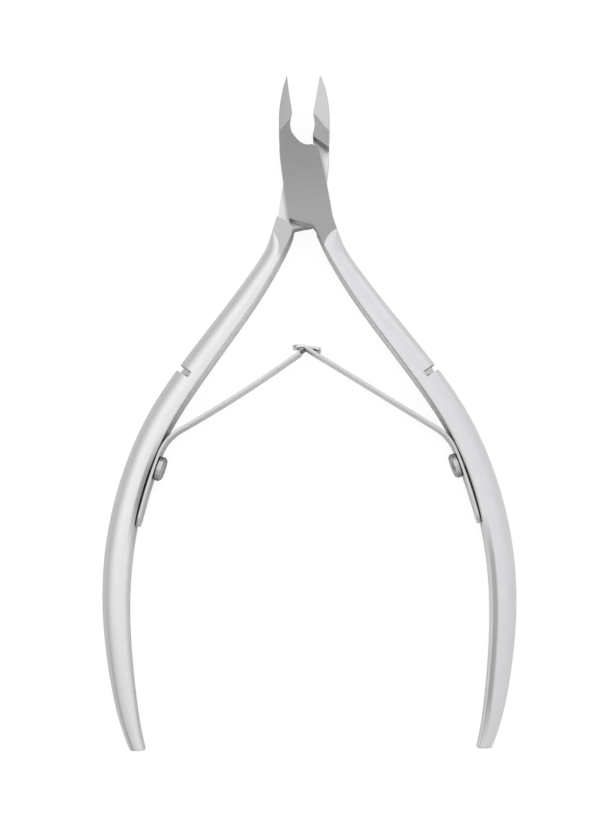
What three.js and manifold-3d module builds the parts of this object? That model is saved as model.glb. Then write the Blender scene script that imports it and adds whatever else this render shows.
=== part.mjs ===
// Cuticle nipper with a lap joint and two hooked leaf springs. Millimetres, +Z up.
// The tool lies flat: +Y runs towards the jaw tips, +Z out of the front lap plate, and the origin
// is on that plate's flat face, on the pivot axis. It rests open, as its springs hold it.
//
// Each half is drawn closed, in its own frame, with Z from the plane where the two lap plates
// meet: the jaw on the -X side with its cutting edge on the line where the jaws meet, the handle
// on the +X side. The rear half is the mirror image. Both are placed by the assembly at the end.

import * as THREE from 'three';
import { mergeVertices } from 'three/addons/utils/BufferGeometryUtils.js';
import Module from 'manifold-3d';

const wasm = await Module();
wasm.setup();

const { degToRad, clamp, lerp, smoothstep } = THREE.MathUtils;

// ---- driving dimensions ----

const OPEN_ANGLE = degToRad(8.4);      // how far each half is turned open at rest
const HALF_DEPTH = 3.2;                // lap plane to the flat front or back face
const LAP_GAP = 0.025;                 // lap plane to each plate's sliding face

const TIP_FRONT = 0.35;                // jaw tip, in front of the lap plane
const TIP_BACK = 0.2;                  // and behind it
const TIP = [0, 19.45];
const HOLLOW_DEPTH = 0.9;              // hollow grinding behind the cutting edge
const EDGE_RADIUS = 0.12;              // broken edges of the head

const NECK = 2.2;                      // where the handle's own sections start
const ROUNDING_ZONE = [2.4, 6.6];      // the flat face runs out and the round crown begins here
const INNER_FALL = 0.3;                // the crown is lower at the handle's inner side
const SIDE_HALF_HEIGHT = 0.35;         // what is left upright at the handle's outer side
const CROWN_SHARE = 0.75;              // of a section's width, the most that its outer corners take
const INNER_CORNER = [0.3, 0.45];      // handle's inner corners, across and up
const END_SLANT = 0.35;                // the handle's end runs further down at its inner side

const PIN_RADIUS = 2;
const PIN_CLEARANCE = 0.05;
const PIN_BLIND_TOP = 2.4;             // the front plate's bore ends below its outer face

const NOTCH_HALF_WIDTH = 0.55;
const NOTCH_DEPTH = 0.7;               // at the widest point of the handle
const NOTCH_REACH = 2.7;               // how far it runs in from the outer side

const STRIP = 0.52;                    // leaf spring thickness
const STRIP_WIDTH = 5;
const STRIP_REST_GAP = 0.1;            // foot to handle
const FOOT_START = 59.8;               // leaf spring foot, measured along the handle
const FOOT_END = 46.6;
const FOOT_BOW = 0.17;                 // the foot is flatter than the hollow of the handle
const FOOT_TAPER = [[0, 0.5], [0.6, 0.85], [1.8, 1]];   // from the end: share of the full width
const BEND_RADIUS = 8;
const FLEX_GAP = 0.3;                  // cut between foot and arm, at the bend
const CROSSING = [0, -28.6];           // where the two springs hook together, tool open
const SCREW_AT = 48.85;                // spring screw, measured along the handle
const TAIL_RADIUS = 0.6;               // the hooked ends turn off past the crossing
const EYE = { length: 3.5, width: 2.1, offset: 0.15, tilt: degToRad(15) };

// Widths of the hooked ends: pairs of distance past the crossing and width.
const EYE_ARM = [[-3, 5], [0.35, 5], [0.5, 5], [0.68, 5], [1.9, 5], [2.2, 4], [2.45, 2.4]];
const NECK_ARM = [
  [-1.35, 5], [-1.15, 1.5], [0.1, 1.5], [0.26, 1.5], [0.42, 1.5], [0.62, 1.5], [1.3, 1.5],
  [1.42, 5], [2.15, 5], [2.6, 3.5],
];

const SHANK_RADIUS = 1.15;
const SCREW_HOLE_RADIUS = 1.2;
const FOOT_HOLE_RADIUS = 1.3;
const SCREW_HOLE_DEPTH = 3.2;
const HEAD_RADIUS = 2.1;
const HEAD_HEIGHT = 1.35;
const HEAD_CHAMFER = 0.4;
const DRIVER_SLOT = { width: 0.7, depth: 0.6 };

const REACH = 12;                      // cutting tools reach this far past the lap plane
const RIGHT_CORNER_STEPS = 5;
const LEFT_CORNER_STEPS = 2;
const NEAR_RING_STEP = 1.4;            // handle rings, up to 14 mm along it and beyond
const FAR_RING_STEP = 4;
const NEAR_RINGS_END = 14;

// Handle centreline: distance along it, heading outwards from straight down in degrees,
// half width, and height of the crown over the lap plane.
const HANDLE_START = [2.17, -6.62];
const HANDLE_LENGTH = 98.3;
const HANDLE = {
  at: [0, 7, 14, 24, 36, 50, 64, 78, 90, 98.4],
  heading: [5.8, 20.9, 26.3, 28.7, 25.5, 11.6, -0.8, -12.3, -18.8, -27.1],
  halfWidth: [1.67, 1.66, 1.9, 2.1, 2.25, 2.2, 2.25, 2.1, 1.75, 1.2],
  crown: [3.2, 3.22, 3.35, 3.5, 3.6, 3.6, 3.55, 3.3, 2.85, 2.4],
};

// Head outline as ribs from the left edge to the right edge, in spans that meet at corners. The
// cutting edges meet a little to the left of the middle of the closed tool.
const FRONT_JAW = [
  [[-0.16, 19.45], [-0.03, 19.45]],
  [[-0.67, 18.3], [-0.06, 18.3]],
  [[-1.2, 17], [-0.11, 16.8]],
  [[-1.86, 15], [-0.13, 15.2]],
  [[-2.39, 13], [-0.15, 13.6]],
  [[-2.74, 11], [-0.18, 12.2]],
];
const FRONT_GULLET = [
  [[-2.74, 11], [-0.18, 12.2]],
  [[-2.97, 9.4], [-0.44, 11.5]],
  [[-3.12, 8.3], [-0.86, 10.3]],
  [[-3.22, 7.4], [-0.84, 9.1]],
  [[-3.32, 6.6], [-0.42, 8.05]],
  [[-3.42, 5.9], [0.4, 6.9]],
  [[-3.48, 5.3], [1.3, 6.3]],
  [[-3.52, 4.8], [2.4, 6.1]],
  [[-3.55, 4.4], [3.27, 5.52]],
];
const REAR_JAW = [
  [[-0.16, 19.45], [0.01, 19.45]],
  [[-0.74, 18.3], [0.04, 18.3]],
  [[-1.34, 17], [0.09, 16.8]],
  [[-2, 15], [0.11, 15.2]],
  [[-2.52, 13], [0.12, 13.6]],
  [[-2.82, 11], [0.14, 12.1]],
];
const REAR_GULLET = [
  [[-2.82, 11], [0.14, 12.1]],
  [[-3.04, 9.4], [0.02, 11.5]],
  [[-3.12, 8.3], [-0.34, 10.3]],
  [[-3.22, 7.4], [-0.4, 9.1]],
  [[-3.32, 6.6], [-0.2, 8.05]],
  [[-3.42, 5.9], [0.4, 6.9]],
  [[-3.48, 5.3], [1.3, 6.3]],
  [[-3.52, 4.8], [2.4, 6.1]],
  [[-3.55, 4.4], [3.27, 5.52]],
];
const PLATE = [
  [[-3.55, 4.4], [3.27, 5.52]],
  [[-3.63, 1.8], [3.55, 2.6]],
  [[-3.66, -0.8], [3.72, -0.6]],
  [[-3.68, -3.4], [3.79, -3.2]],
  [[-3.6, -6], [3.82, -5.2]],
];
const FRONT_CROTCH = [
  [[-3.6, -6], [3.82, -5.2]],
  [[-2.0, -6.8], [3.82, -5.9]],
  [[-0.5, -7.4], [3.83, -6.5]],
  [[0.25, -7.8], [3.88, -7.1]],
];
const REAR_CROTCH = [
  [[-3.6, -6], [3.82, -5.2]],
  [[-2.2, -6.85], [3.82, -5.9]],
  [[-0.5, -7.4], [3.83, -6.5]],
  [[0.8, -7.9], [3.88, -7.1]],
];

// What differs between the halves. The facet is the line where the ground jaw leaves the flat face.
// The spring's arm may bow down a little on its way to the crossing, and past that its tail curls.
const FRONT = {
  facet: [[-0.65, 11.2], [-2.87, 9.38]],
  spans: [[FRONT_JAW, 1], [FRONT_GULLET, 2], [PLATE, 1], [FRONT_CROTCH, 2]],
  notchAt: 32.3,
  armBow: 0,
  tail: { start: 0.35, turn: degToRad(31.9) },
};
const REAR = {
  facet: [[-0.05, 11.8], [-2.97, 9.28]],
  spans: [[REAR_JAW, 1], [REAR_GULLET, 2], [PLATE, 1], [REAR_CROTCH, 2]],
  notchAt: 31.85,
  armBow: 0.4,
  tail: { start: 0.1, turn: degToRad(50.5) },
};

// Edge of the lap pocket: the jaw's step on one side, the handle's shoulder on the other.
const JAW_STEP = [[2.5, 9.49], [-6, 4.98]];
const HANDLE_SHOULDER = [[-0.4, -10.2], [0.66, -8.72], [1.51, -7.55], [3.66, -6.73], [7, -5.45]];
const REAR_RELIEF = { x: 1.6, y: 7.3, radius: 2.15 };   // clears the rear plate from the gullet

// ---- curves ----

// Value at `at` of a smooth curve through the keys (cubic Hermite, slopes from the neighbours).
function keyed(keys, values, at) {
  const last = keys.length - 1;
  let i = 0;
  while (i < last - 1 && at > keys[i + 1]) i += 1;
  const slope = (k) => {
    const a = Math.max(k - 1, 0);
    const b = Math.min(k + 1, last);
    return (values[b] - values[a]) / (keys[b] - keys[a]);
  };
  const h = keys[i + 1] - keys[i];
  const t = (at - keys[i]) / h;
  const rise = values[i + 1] - values[i];
  const bend = t * (1 - t) * (h * slope(i) * (1 - t) - h * slope(i + 1) * t);
  return values[i] + rise * t * t * (3 - 2 * t) + bend;
}

// Point, outward normal and half width of the handle at a distance along its centreline.
function handleAt(distance) {
  const steps = Math.max(1, Math.ceil(distance * 2));
  const step = distance / steps;
  const point = new THREE.Vector2(...HANDLE_START);
  for (let i = 0; i < steps; i += 1) {
    const heading = degToRad(keyed(HANDLE.at, HANDLE.heading, (i + 0.5) * step));
    point.x += Math.sin(heading) * step;
    point.y -= Math.cos(heading) * step;
  }
  const heading = degToRad(keyed(HANDLE.at, HANDLE.heading, distance));
  return {
    point,
    normal: new THREE.Vector2(Math.cos(heading), Math.sin(heading)),
    halfWidth: keyed(HANDLE.at, HANDLE.halfWidth, distance),
  };
}

// Point beside the handle's inner face, `clear` away from it.
function besideHandle(distance, clear) {
  const { point, normal, halfWidth } = handleAt(distance);
  return point.addScaledVector(normal, -halfWidth - clear);
}

function turned(point, angle) {
  return new THREE.Vector2(point[0], point[1]).rotateAround(new THREE.Vector2(), angle);
}

// ---- solids ----

// Closed body through rings of equal length, capped at both ends. Each ring runs clockwise as
// seen by someone who travels along the body.
function bodyFromRings(rings) {
  const count = rings[0].length;
  const positions = rings.flat().flatMap((p) => [p.x, p.y, p.z]);
  const index = [];
  for (let r = 0; r < rings.length - 1; r += 1) {
    for (let i = 0; i < count; i += 1) {
      const a = r * count + i;
      const b = r * count + ((i + 1) % count);
      index.push(a, b + count, b, a, a + count, b + count);
    }
  }
  const end = (rings.length - 1) * count;
  for (let i = 1; i < count - 1; i += 1) {
    index.push(0, i, i + 1);
    index.push(end, end + i + 1, end + i);
  }
  const geometry = new THREE.BufferGeometry();
  geometry.setAttribute('position', new THREE.Float32BufferAttribute(positions, 3));
  geometry.setIndex(index);
  return geometry;
}

// Manifold solid of a geometry: vertices merged, triangles that vanish left out.
function solidOf(geometry) {
  const bare = geometry.clone();
  bare.deleteAttribute('normal');
  bare.deleteAttribute('uv');
  const merged = mergeVertices(bare, 1e-4);
  const all = Array.from(merged.index.array);
  const triVerts = [];
  for (let i = 0; i < all.length; i += 3) {
    const [a, b, c] = all.slice(i, i + 3);
    if (a !== b && b !== c && c !== a) triVerts.push(a, b, c);
  }
  const mesh = new wasm.Mesh({
    numProp: 3,
    vertProperties: new Float32Array(merged.attributes.position.array),
    triVerts: new Uint32Array(triVerts),
  });
  return new wasm.Manifold(mesh);
}

function geometryOf(solid) {
  const mesh = solid.getMesh();
  const geometry = new THREE.BufferGeometry();
  geometry.setAttribute('position', new THREE.BufferAttribute(mesh.vertProperties, 3));
  geometry.setIndex(new THREE.BufferAttribute(mesh.triVerts, 1));
  return geometry;
}

function cut(geometry, ...tools) {
  return geometryOf(tools.reduce((solid, tool) => solid.subtract(solidOf(tool)), solidOf(geometry)));
}

// Mirror image across the plane where the jaws meet, with its faces still pointing out.
function mirrored(geometry) {
  const copy = geometry.clone().scale(-1, 1, 1);
  const order = copy.index.array;
  for (let i = 0; i < order.length; i += 3) {
    [order[i + 1], order[i + 2]] = [order[i + 2], order[i + 1]];
  }
  return copy;
}

function prism(points, low, high) {
  const shape = new THREE.Shape(points.map(([x, y]) => new THREE.Vector2(x, y)));
  const geometry = new THREE.ExtrudeGeometry(shape, { depth: high - low, bevelEnabled: false });
  return geometry.translate(0, 0, low);
}

function roundBar(radius, low, high, segments = 64) {
  const bar = new THREE.CylinderGeometry(radius, radius, high - low, segments);
  return bar.rotateX(Math.PI / 2).translate(0, 0, (low + high) / 2);
}

// ---- one half: jaw, lap plate and handle ----

// Height of the ground facet over the lap plane: flat up to its line, then falling to the tip.
function facetHeight(point, [inner, outer], tipHeight) {
  const line = [outer[0] - inner[0], outer[1] - inner[1]];
  const length = Math.hypot(...line);
  const beyond = (x, y) => ((x - inner[0]) * line[1] - (y - inner[1]) * line[0]) / length;
  const fall = (HALF_DEPTH - tipHeight) / beyond(...TIP);
  return HALF_DEPTH - fall * Math.max(0, beyond(point.x, point.y));
}

// Ring round a section that stands on the rib from `left` to `right`. `front` and `back` are the
// heights [at left, at right] over and under the lap plane. The corners are elliptical, with
// semi-axes [across, up]. `shape` may move a section point {across, height} before it is placed.
function sectionRing({ left, right, front, back, leftCorner, rightCorner, shape = (p) => p }) {
  const width = left.distanceTo(right);
  const corner = (fromLeft, heights, sign, steps) => {
    const [semiAcross, semiUp] = fromLeft ? leftCorner : rightCorner;
    const reach = Math.min(semiAcross, (fromLeft ? 1 - CROWN_SHARE : CROWN_SHARE) * width);
    return Array.from({ length: steps + 1 }, (_, i) => {
      const turn = (i / steps) * (Math.PI / 2);
      const fromSide = reach * (1 - Math.sin(turn));
      const across = fromLeft ? fromSide : width - fromSide;
      const top = lerp(heights[0], heights[1], across / width);
      const drop = Math.min(semiUp, 0.9 * top) * (1 - Math.cos(turn));
      return { across, height: sign * (top - drop) };
    });
  };
  const frontRight = corner(false, front, 1, RIGHT_CORNER_STEPS);
  const backRight = corner(false, back, -1, RIGHT_CORNER_STEPS).reverse();
  const sideTop = frontRight.at(-1).height;
  const sideBottom = backRight[0].height;
  const side = [1 / 3, 2 / 3].map((part) => ({ across: width, height: lerp(sideTop, sideBottom, part) }));
  const section = [
    ...corner(true, front, 1, LEFT_CORNER_STEPS).reverse(),
    ...frontRight,
    ...side,
    ...backRight,
    ...corner(true, back, -1, LEFT_CORNER_STEPS),
  ];
  return section.map((plain) => {
    const { across, height } = shape(plain, width);
    const foot = left.clone().lerp(right, across / width);
    return new THREE.Vector3(foot.x, foot.y, height);
  });
}

// Rings of the head: the ribs of a span, joined by smooth curves through its own knots.
function headRings(span, stepsPerRib, facet) {
  const knots = span.map((_, i) => i);
  const along = (side, axis, t) => keyed(knots, span.map((rib) => rib[side][axis]), t);
  const count = (span.length - 1) * stepsPerRib;
  return Array.from({ length: count + 1 }, (_, i) => {
    const t = i / stepsPerRib;
    const left = new THREE.Vector2(along(0, 0, t), along(0, 1, t));
    const right = new THREE.Vector2(along(1, 0, t), along(1, 1, t));
    const heights = (tipHeight) => [left, right].map((point) => facetHeight(point, facet, tipHeight));
    const hollow = HOLLOW_DEPTH * smoothstep(right.y, 9, 12) * smoothstep(-left.x, 0, 3);
    return sectionRing({
      left,
      right,
      front: heights(TIP_FRONT),
      back: heights(TIP_BACK),
      leftCorner: [EDGE_RADIUS, EDGE_RADIUS],
      rightCorner: [EDGE_RADIUS, EDGE_RADIUS],
      shape: (p, width) => hollowed(p, width, hollow, facetHeight(right, facet, TIP_FRONT)),
    });
  });
}

// The inner face of the jaw curves away behind the cutting edge, which is its front corner.
function hollowed({ across, height }, width, depth, edgeHeight) {
  const fromFront = clamp((edgeHeight - height) / (2 * edgeHeight), 0, 1);
  const share = clamp((across / width - 0.5) * 2, 0, 1);
  return { across: across - share * depth * Math.sin(fromFront * Math.PI * 0.75), height };
}

// The groove across the handle's outer side: a straight cut from the crown to the widest point.
function notched({ across, height }, width, crown) {
  const inwards = clamp((across - width + NOTCH_REACH) / NOTCH_REACH, 0, 1);
  if (inwards === 0) return { across, height };
  const share = (inwards + clamp((crown - Math.abs(height)) / crown, 0, 1)) / 2;
  const low = Math.min(Math.abs(height), SIDE_HALF_HEIGHT);
  return {
    across: lerp(width - NOTCH_REACH, width - NOTCH_DEPTH, share),
    height: Math.sign(height) * Math.min(Math.abs(height), lerp(crown, low, share)),
  };
}

// One ring of the handle. Past the neck the outer corners grow until the section is a D.
function handleRing(distance, shape) {
  const { point, normal, halfWidth } = handleAt(distance);
  const crown = keyed(HANDLE.at, HANDLE.crown, distance);
  const rounding = smoothstep(distance, ...ROUNDING_ZONE);
  const fall = INNER_FALL * smoothstep(distance, ROUNDING_ZONE[1], 2.5 * ROUNDING_ZONE[1]);
  const heights = [crown - fall, crown];
  const rounded = (semiAxes) => semiAxes.map((semiAxis) => lerp(EDGE_RADIUS, semiAxis, rounding));
  const travel = new THREE.Vector2(normal.y, -normal.x);
  const slant = END_SLANT * smoothstep(distance, HANDLE_LENGTH - 3, HANDLE_LENGTH);
  return sectionRing({
    left: point.clone().addScaledVector(normal, -halfWidth).addScaledVector(travel, slant),
    right: point.clone().addScaledVector(normal, halfWidth).addScaledVector(travel, -slant),
    front: heights,
    back: heights,
    leftCorner: rounded(INNER_CORNER),
    rightCorner: rounded([2 * CROWN_SHARE * halfWidth, crown - SIDE_HALF_HEIGHT]),
    shape: shape && ((p, width) => shape(p, width, crown)),
  });
}

function handleRings(notchAt) {
  const plain = [];
  let along = NECK;
  while (along < HANDLE_LENGTH) {
    if (Math.abs(along - notchAt) > 2 * NOTCH_HALF_WIDTH) plain.push({ distance: along });
    along += along < NEAR_RINGS_END ? NEAR_RING_STEP : FAR_RING_STEP;
  }
  plain.push({ distance: HANDLE_LENGTH });
  const low = notchAt - NOTCH_HALF_WIDTH;
  const high = notchAt + NOTCH_HALF_WIDTH;
  const notch = [
    { distance: low },
    { distance: low, shape: notched },
    { distance: high, shape: notched },
    { distance: high },
  ];
  const before = plain.filter(({ distance }) => distance < low);
  const after = plain.filter(({ distance }) => distance > high);
  return [...before, ...notch, ...after].map(({ distance, shape }) => handleRing(distance, shape));
}

// Solid half without its lap pocket.
function halfBlank({ spans, facet, notchAt }) {
  const head = spans.flatMap(([span, steps], i) => headRings(span, steps, facet).slice(i > 0 ? 1 : 0));
  return bodyFromRings([...head, ...handleRings(notchAt)]);
}

// The pocket that the other half's plate slides in, open towards `side` (+1 front, -1 back). Its
// edge between the step and the shoulder runs outside the blank.
function lapPocket(side) {
  const outline = [...JAW_STEP, [-6, -11], [-0.4, -11], ...HANDLE_SHOULDER, [7, JAW_STEP[0][1]]];
  return side > 0 ? prism(outline, -LAP_GAP, REACH) : prism(outline, -REACH, LAP_GAP);
}

// Point and direction of a spring's foot at a share of the way from its lower end to the bend,
// `clear` away from where it touches the hollow of the handle with its two ends.
function onFoot(share, clear) {
  const low = besideHandle(FOOT_START, 0);
  const chord = besideHandle(FOOT_END, 0).sub(low);
  const along = chord.clone().normalize();
  const outward = new THREE.Vector2(along.y, -along.x);
  const bow = FOOT_BOW * 4 * share * (1 - share);
  const slope = (FOOT_BOW * 4 * (1 - 2 * share)) / chord.length();
  const direction = along.clone().addScaledVector(outward, slope).normalize();
  const inward = new THREE.Vector2(-direction.y, direction.x);
  const point = low.addScaledVector(chord, share).addScaledVector(outward, bow);
  return { point: point.addScaledVector(inward, clear), direction, inward };
}

// Blind hole for a spring screw.
function screwHole() {
  const hole = roundBar(SCREW_HOLE_RADIUS, -SCREW_HOLE_DEPTH, REACH, 32);
  return placedAtScrew(hole);
}

// Moves a body that is drawn round +Z, from the handle's face outwards, to the screw's place,
// square to the spring's foot.
function placedAtScrew(geometry) {
  const { point, inward } = onFoot((FOOT_START - SCREW_AT) / (FOOT_START - FOOT_END), 0);
  const axis = new THREE.Vector3(inward.x, inward.y, 0);
  const turn = new THREE.Quaternion().setFromUnitVectors(new THREE.Vector3(0, 0, 1), axis);
  return geometry.applyQuaternion(turn).translate(point.x, point.y, 0);
}

function frontHalf() {
  const bore = roundBar(PIN_RADIUS + PIN_CLEARANCE, -REACH, PIN_BLIND_TOP);
  return cut(halfBlank(FRONT), lapPocket(-1), bore, screwHole());
}

function rearHalf() {
  const bore = roundBar(PIN_RADIUS + PIN_CLEARANCE, -REACH, REACH);
  const { x, y, radius } = REAR_RELIEF;
  const relief = roundBar(radius, -REACH, REACH, 48).translate(x, y, 0);
  return mirrored(cut(halfBlank(REAR), lapPocket(1), bore, relief, screwHole()));
}

// Flush pin: fast in the rear plate, blind in the front one.
function pivotPin() {
  return roundBar(PIN_RADIUS, -HALF_DEPTH + PIN_CLEARANCE, PIN_BLIND_TOP - 2 * PIN_CLEARANCE);
}

// ---- leaf springs, drawn for the front half ----

// Strips are drawn from the foot's lower end upwards and inwards. A station is a point of the
// centreline with its direction of travel and the strip's width there.
function station(point, direction, width) {
  return { point, direction, width };
}

function stripBody(stations) {
  return bodyFromRings(stations.map(({ point, direction, width }) => {
    const side = new THREE.Vector2(-direction.y, direction.x).multiplyScalar(STRIP / 2);
    const corners = [[-1, 1], [1, 1], [1, -1], [-1, -1]];
    return corners.map(([across, up]) => {
      return new THREE.Vector3(point.x + across * side.x, point.y + across * side.y, up * width / 2);
    });
  }));
}

function directionOf(angle) {
  return new THREE.Vector2(Math.cos(angle), Math.sin(angle));
}

// The bend above the foot is an arc that leaves the handle's side, and the arm ends at the
// crossing. An arm that bows down by `armBow` is a shallow arc too.
function springLine(armBow) {
  const { point: start, inward } = onFoot(1, STRIP_REST_GAP + STRIP / 2);
  const centre = start.clone().addScaledVector(inward, BEND_RADIUS);
  const crossing = turned(CROSSING, -OPEN_ANGLE);
  const reach = crossing.clone().sub(centre);
  const first = inward.clone().negate().angle();
  const straight = reach.angle() - Math.acos(BEND_RADIUS / reach.length());
  const last = straight + (4 * armBow) / reach.length();
  const onBend = (share, width) => {
    const outwards = directionOf(lerp(first, last, share));
    const point = centre.clone().addScaledVector(outwards, BEND_RADIUS);
    return station(point, new THREE.Vector2(-outwards.y, outwards.x), width);
  };
  const end = onBend(1).point;
  const chord = crossing.clone().sub(end);
  const heading = last + Math.PI / 2;
  const turn = chord.angle() - heading;
  const onArm = (share, width) => {
    const reached = turn === 0 ? share : Math.sin(turn * share) / Math.sin(turn);
    const outwards = directionOf(heading + turn * share);
    const point = end.clone().addScaledVector(outwards, chord.length() * reached);
    return station(point, directionOf(heading + 2 * turn * share), width);
  };
  return { onBend, onArm, length: chord.length(), bendLength: (last - first) * BEND_RADIUS };
}

function springFoot({ armBow }) {
  const lying = (fromEnd, width) => {
    const { point, direction } = onFoot(fromEnd / (FOOT_START - FOOT_END), STRIP_REST_GAP + STRIP / 2);
    return station(point, direction, width);
  };
  const { onBend, bendLength } = springLine(armBow);
  const cutShare = 0.5 - FLEX_GAP / 2 / bendLength;
  const fullWidthFrom = FOOT_TAPER.at(-1)[0];
  const body = stripBody([
    ...FOOT_TAPER.map(([fromEnd, share]) => lying(fromEnd, share * STRIP_WIDTH)),
    ...[0.33, 0.67, 1].map((t) => lying(lerp(fullWidthFrom, FOOT_START - FOOT_END, t), STRIP_WIDTH)),
    onBend(cutShare / 2, STRIP_WIDTH),
    onBend(cutShare, STRIP_WIDTH),
  ]);
  return cut(body, placedAtScrew(roundBar(FOOT_HOLE_RADIUS, -SCREW_HOLE_DEPTH, REACH, 32)));
}

// The arm runs to the crossing and then turns into its hooked tail.
function springArm({ armBow, tail }, widths) {
  const { onBend, onArm, length, bendLength } = springLine(armBow);
  const cutShare = 0.5 + FLEX_GAP / 2 / bendLength;
  const bent = [cutShare, (1 + cutShare) / 2, 1].map((share) => onBend(share, STRIP_WIDTH));
  const { point: crossing, direction: along } = onArm(1);
  const left = new THREE.Vector2(-along.y, along.x);
  const pastCrossing = (past, width) => {
    if (past <= 0) return onArm(1 + past / length, width);
    if (past <= tail.start) return station(crossing.clone().addScaledVector(along, past), along, width);
    const angle = Math.min(tail.turn, (past - tail.start) / TAIL_RADIUS);
    const point = crossing.clone().addScaledVector(along, tail.start + TAIL_RADIUS * Math.sin(angle))
      .addScaledVector(left, TAIL_RADIUS * (1 - Math.cos(angle)));
    const direction = along.clone().rotateAround(new THREE.Vector2(), angle);
    const straight = Math.max(0, past - tail.start - TAIL_RADIUS * tail.turn);
    return station(point.addScaledVector(direction, straight), direction, width);
  };
  const reaching = [0.25, 0.5, 0.75].map((share) => onArm(share, STRIP_WIDTH));
  return stripBody([...bent, ...reaching, ...widths.map(([past, width]) => pastCrossing(past, width))]);
}

// Left spring: a narrow neck that passes through the eye, and a wide head behind it.
function neckArm() {
  return mirrored(springArm(REAR, NECK_ARM));
}

// Right spring: a slot in its hooked end is the eye.
function eyeArm() {
  const { onArm } = springLine(FRONT.armBow);
  const { point: crossing, direction } = onArm(1);
  const slot = new THREE.BoxGeometry(EYE.length, REACH, EYE.width).translate(EYE.offset, 0, 0);
  slot.rotateZ(direction.angle() + EYE.tilt).translate(crossing.x, crossing.y, 0);
  return cut(springArm(FRONT, EYE_ARM), slot);
}

// ---- spring screw ----

function springScrew() {
  const seat = STRIP_REST_GAP + STRIP + PIN_CLEARANCE;
  const top = seat + HEAD_HEIGHT;
  const profile = [
    [0, PIN_CLEARANCE - SCREW_HOLE_DEPTH],
    [SHANK_RADIUS, PIN_CLEARANCE - SCREW_HOLE_DEPTH],
    [SHANK_RADIUS, seat],
    [HEAD_RADIUS, seat],
    [HEAD_RADIUS, top - HEAD_CHAMFER],
    [HEAD_RADIUS - HEAD_CHAMFER, top],
    [0, top],
  ].map(([radius, height]) => new THREE.Vector2(radius, height));
  const blank = new THREE.LatheGeometry(profile, 32).rotateX(Math.PI / 2);
  const { width, depth } = DRIVER_SLOT;
  const slot = new THREE.BoxGeometry(width, 3 * HEAD_RADIUS, 2 * depth).translate(0, 0, top);
  return placedAtScrew(cut(blank, slot));
}

// ---- assembly ----

const satinSteel = new THREE.MeshStandardMaterial({ color: 0xc9cacc, roughness: 0.35, metalness: 1 });
const springSteel = new THREE.MeshStandardMaterial({ color: 0xc4c4c2, roughness: 0.28, metalness: 1 });
const screwSteel = new THREE.MeshStandardMaterial({ color: 0xb9b9ba, roughness: 0.3, metalness: 1 });

function named(name, geometry, material) {
  geometry.computeVertexNormals();
  const mesh = new THREE.Mesh(geometry, material);
  mesh.name = name;
  return mesh;
}

const rearBody = new THREE.Group();
rearBody.position.z = -HALF_DEPTH;
rearBody.rotation.z = -OPEN_ANGLE;
rearBody.add(
  named('rear_half', rearHalf(), satinSteel),
  named('pivot_pin', pivotPin(), screwSteel),
  named('left_spring_foot', mirrored(springFoot(REAR)), springSteel),
  named('left_spring_arm', neckArm(), springSteel),
  named('left_spring_screw', mirrored(springScrew()), screwSteel),
);

const frontBody = new THREE.Group();
frontBody.position.z = -HALF_DEPTH;
frontBody.rotation.z = OPEN_ANGLE;
frontBody.add(
  named('front_half', frontHalf(), satinSteel),
  named('right_spring_foot', springFoot(FRONT), springSteel),
  named('right_spring_arm', eyeArm(), springSteel),
  named('right_spring_screw', springScrew(), screwSteel),
);

const nipper = new THREE.Group();
nipper.add(rearBody, frontBody);

export default nipper;
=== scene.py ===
"""Looks of the cuticle nipper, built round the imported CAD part.

Both halves are rebuilt as fine meshes from the same outlines as the CAD part. They are drawn in
millimetres in a half's own frame, with the tool closed: the pivot axis at the origin, Z from the
plane where the lap plates meet, the jaw on the -X side and the handle on the +X side. place()
takes a piece to the row frame: the front half turns open, and the rear half is its mirror image.
"""

import math

import bpy
import numpy as np
from mathutils import Matrix, Vector

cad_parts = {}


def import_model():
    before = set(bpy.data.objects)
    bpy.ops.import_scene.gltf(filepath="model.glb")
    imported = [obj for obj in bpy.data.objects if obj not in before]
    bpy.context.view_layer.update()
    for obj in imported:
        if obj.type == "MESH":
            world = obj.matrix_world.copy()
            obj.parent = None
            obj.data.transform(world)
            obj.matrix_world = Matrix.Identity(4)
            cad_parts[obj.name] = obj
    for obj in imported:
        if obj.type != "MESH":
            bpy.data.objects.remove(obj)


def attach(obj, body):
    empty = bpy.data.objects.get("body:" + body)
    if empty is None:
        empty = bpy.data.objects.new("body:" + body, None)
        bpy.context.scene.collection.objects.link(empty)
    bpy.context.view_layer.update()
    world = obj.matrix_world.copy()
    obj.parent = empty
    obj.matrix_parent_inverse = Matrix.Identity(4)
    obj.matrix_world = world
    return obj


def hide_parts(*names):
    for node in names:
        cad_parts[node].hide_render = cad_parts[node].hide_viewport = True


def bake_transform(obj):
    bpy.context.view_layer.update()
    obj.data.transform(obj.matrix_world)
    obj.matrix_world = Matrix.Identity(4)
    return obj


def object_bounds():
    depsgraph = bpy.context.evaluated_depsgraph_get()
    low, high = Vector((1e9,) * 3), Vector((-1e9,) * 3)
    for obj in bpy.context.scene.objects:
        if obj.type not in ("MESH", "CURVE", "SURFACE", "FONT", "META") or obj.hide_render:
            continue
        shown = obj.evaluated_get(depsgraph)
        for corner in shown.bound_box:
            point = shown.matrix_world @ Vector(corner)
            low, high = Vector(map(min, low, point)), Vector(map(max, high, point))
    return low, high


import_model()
cad_low, cad_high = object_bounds()

MM = 0.001

# ---- the frame's dimensions, in millimetres ----

OPEN_ANGLE = math.radians(8.4)
HALF_DEPTH = 3.2
LAP_GAP = 0.025
REACH = 12

TIP_FRONT = 0.35
TIP_BACK = 0.2
TIP = (0, 19.45)
HOLLOW_DEPTH = 0.9
EDGE_RADIUS = 0.12

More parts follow.
